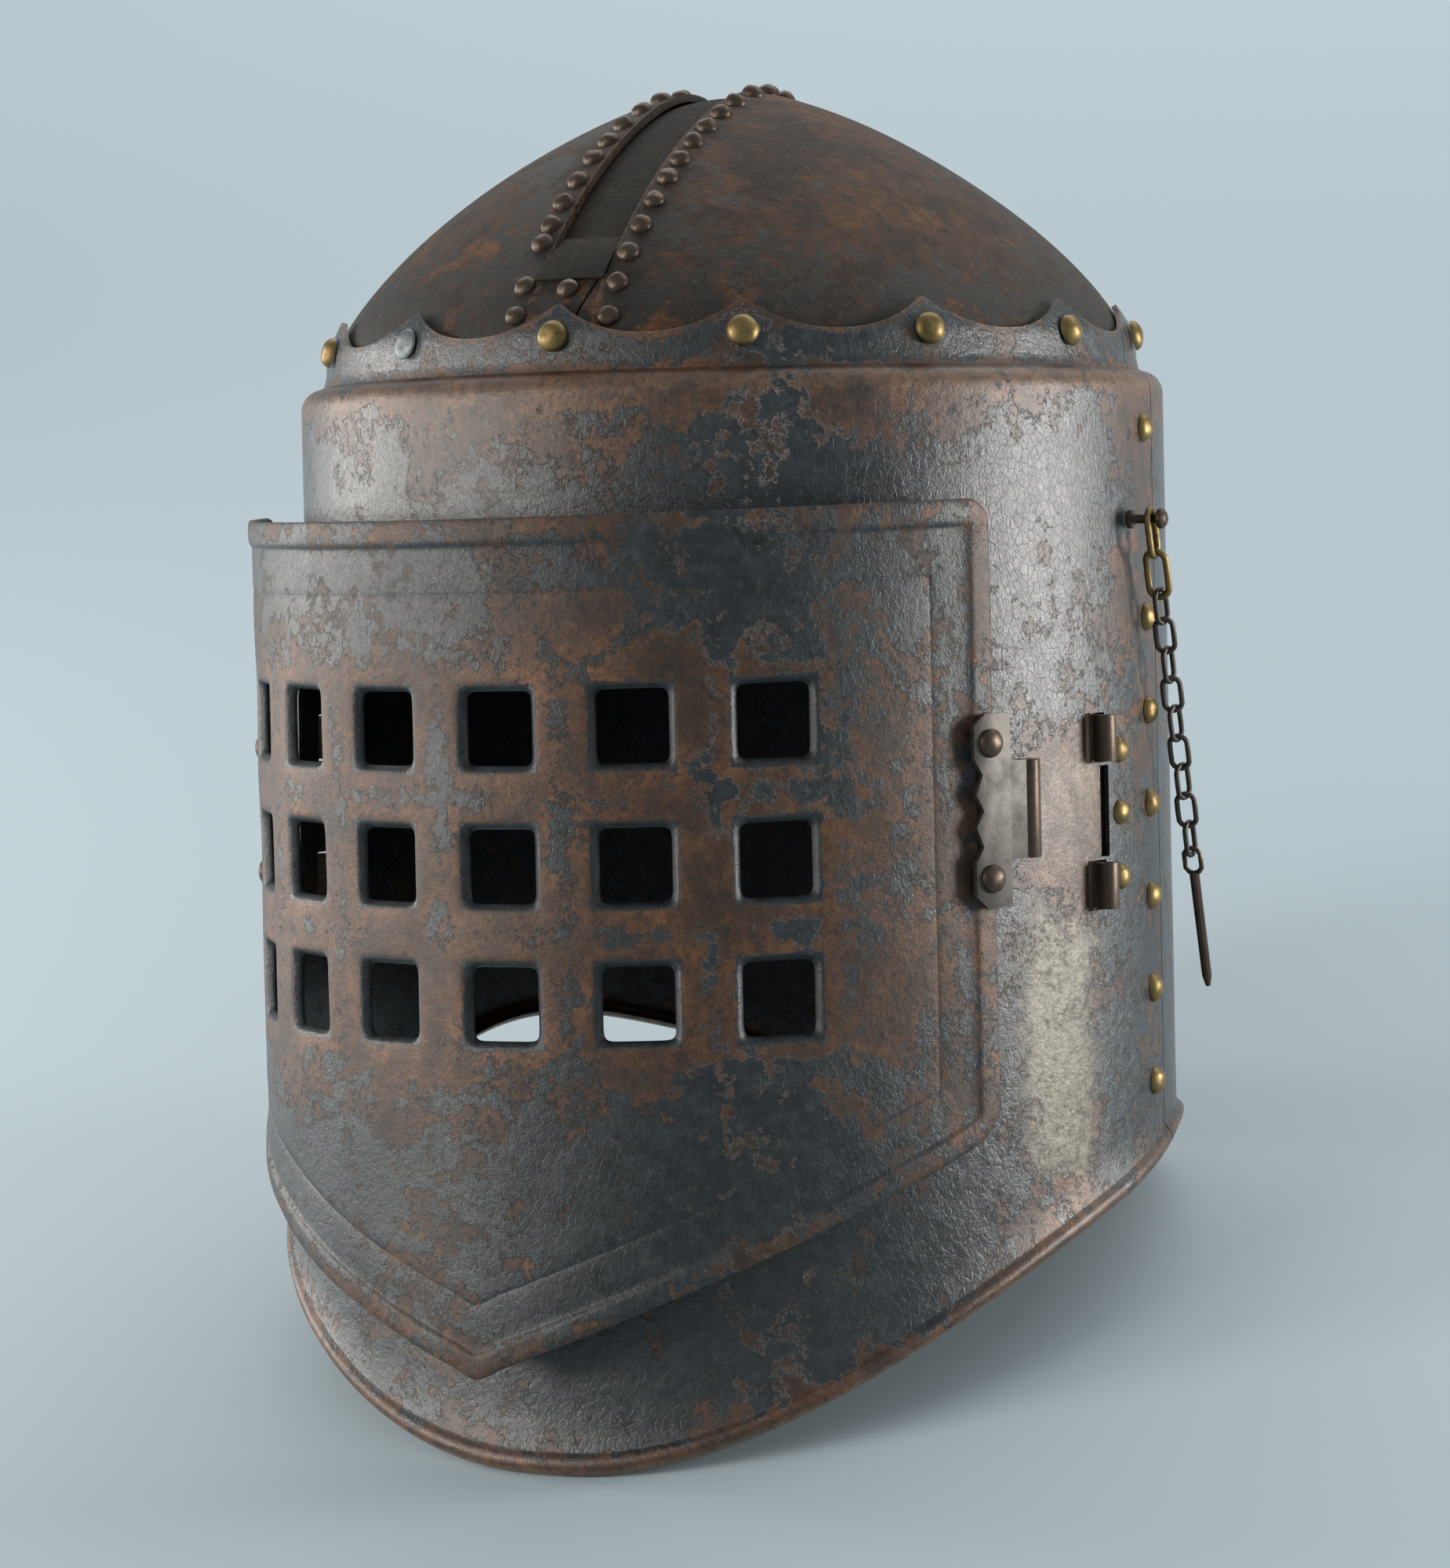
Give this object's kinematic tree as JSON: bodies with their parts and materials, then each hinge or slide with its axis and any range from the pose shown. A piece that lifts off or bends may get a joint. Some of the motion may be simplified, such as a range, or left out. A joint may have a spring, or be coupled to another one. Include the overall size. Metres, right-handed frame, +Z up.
{
  "type": "great helmet",
  "caption": "Riveted iron great helmet with a domed crown, a scalloped brow, a hinged visor pierced with square holes, and a hinge pin on a chain.",
  "frame": {"origin": "centre of the bounding box at floor level", "axes": "+Z up, front of the helmet towards -Y, the visible hinge and chain on +X"},
  "size_m": [0.2662, 0.3292, 0.3228],
  "materials": {
    "flaked_paint": "flaking blue-black paint over brown rust",
    "dark_iron": "dark rusted iron",
    "aged_brass": "dull aged brass",
    "grey_tin": "worn grey metal"
  },
  "bodies": {
    "helmet": {"barrel_back": "flaked_paint", "barrel_front": "flaked_paint", "barrel_hinge_leaf_left": "dark_iron", "barrel_hinge_leaf_right": "dark_iron", "chain": "dark_iron", "chain_bolt": "dark_iron", "chain_hook_links": "aged_brass", "crown_rivet_01": "aged_brass", "crown_rivet_02": "aged_brass", "crown_rivet_03": "aged_brass", "crown_rivet_04": "aged_brass", "crown_rivet_05": "aged_brass", "crown_rivet_06": "aged_brass", "crown_rivet_07": "aged_brass", "crown_rivet_08": "aged_brass", "crown_rivet_09": "aged_brass", "crown_rivet_10": "aged_brass", "crown_rivet_11": "aged_brass", "crown_rivet_12": "aged_brass", "crown_rivet_13": "aged_brass", "crown_rivet_14": "grey_tin", "crown_strap": "flaked_paint", "dome_left": "flaked_paint", "dome_right": "flaked_paint", "hanging_pin_right": "dark_iron", "hinge_pin_left": "dark_iron", "hinge_rivet_left_lower": "aged_brass", "hinge_rivet_left_middle": "aged_brass", "hinge_rivet_left_upper": "aged_brass", "hinge_rivet_right_lower": "aged_brass", "hinge_rivet_right_middle": "aged_brass", "hinge_rivet_right_upper": "aged_brass", "seam_rivet_left_1": "aged_brass", "seam_rivet_left_2": "aged_brass", "seam_rivet_left_3": "aged_brass", "seam_rivet_left_4": "aged_brass", "seam_rivet_left_5": "aged_brass", "seam_rivet_left_6": "aged_brass", "seam_rivet_left_7": "aged_brass", "seam_rivet_right_1": "aged_brass", "seam_rivet_right_2": "aged_brass", "seam_rivet_right_3": "aged_brass", "seam_rivet_right_4": "aged_brass", "seam_rivet_right_5": "aged_brass", "seam_rivet_right_6": "aged_brass", "seam_rivet_right_7": "aged_brass"},
    "visor_body": {"plate_rivet_left_lower": "dark_iron", "plate_rivet_left_upper": "dark_iron", "plate_rivet_right_lower": "dark_iron", "plate_rivet_right_upper": "dark_iron", "visor": "flaked_paint", "visor_hinge_plate_left": "dark_iron", "visor_hinge_plate_right": "dark_iron"}
  },
  "joints": [
    {"name": "visor_swing", "type": "hinge", "parent": "helmet", "child": "visor_body", "pos_m": [-0.12981, -0.0141, 0.13589], "axis": [0, -0.3007, -0.9537], "range_deg": [0, 105]}
  ]
}
